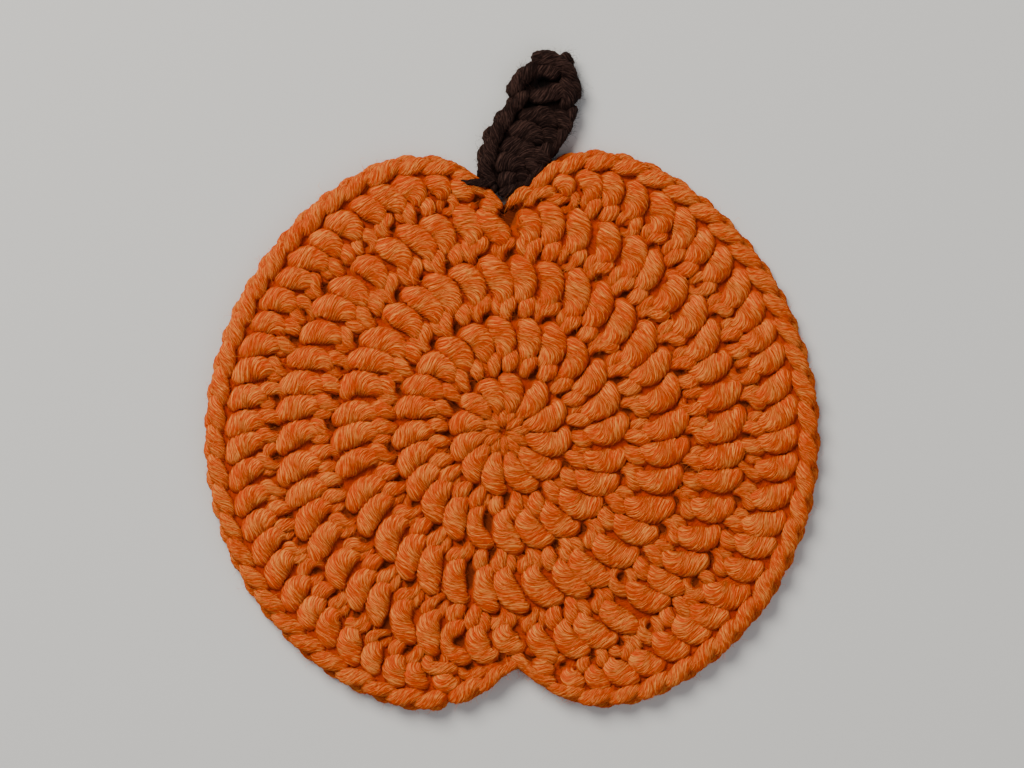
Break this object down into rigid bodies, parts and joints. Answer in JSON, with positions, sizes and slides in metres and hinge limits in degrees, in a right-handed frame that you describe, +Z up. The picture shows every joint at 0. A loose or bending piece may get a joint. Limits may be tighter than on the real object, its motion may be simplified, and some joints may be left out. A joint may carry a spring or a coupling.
{
  "type": "crochet coaster",
  "caption": "Flat pumpkin-shaped table coaster crocheted in rounds of thick yarn, with a short crocheted stem in its top notch.",
  "frame": {"origin": "on the surface that the coaster lies on, under the middle of the whole outline, stem included", "axes": "+Y from the coaster towards the stem's tip, +Z up out of the top of the cloth, +X to the right seen from above"},
  "size_m": [0.1266, 0.1364, 0.006],
  "materials": {
    "orange_yarn": "matt plied yarn with a soft sheen on its strands",
    "brown_yarn": "matt plied yarn"
  },
  "bodies": {
    "root": {"pumpkin_body": "orange_yarn", "stem": "brown_yarn"}
  },
  "joints": []
}
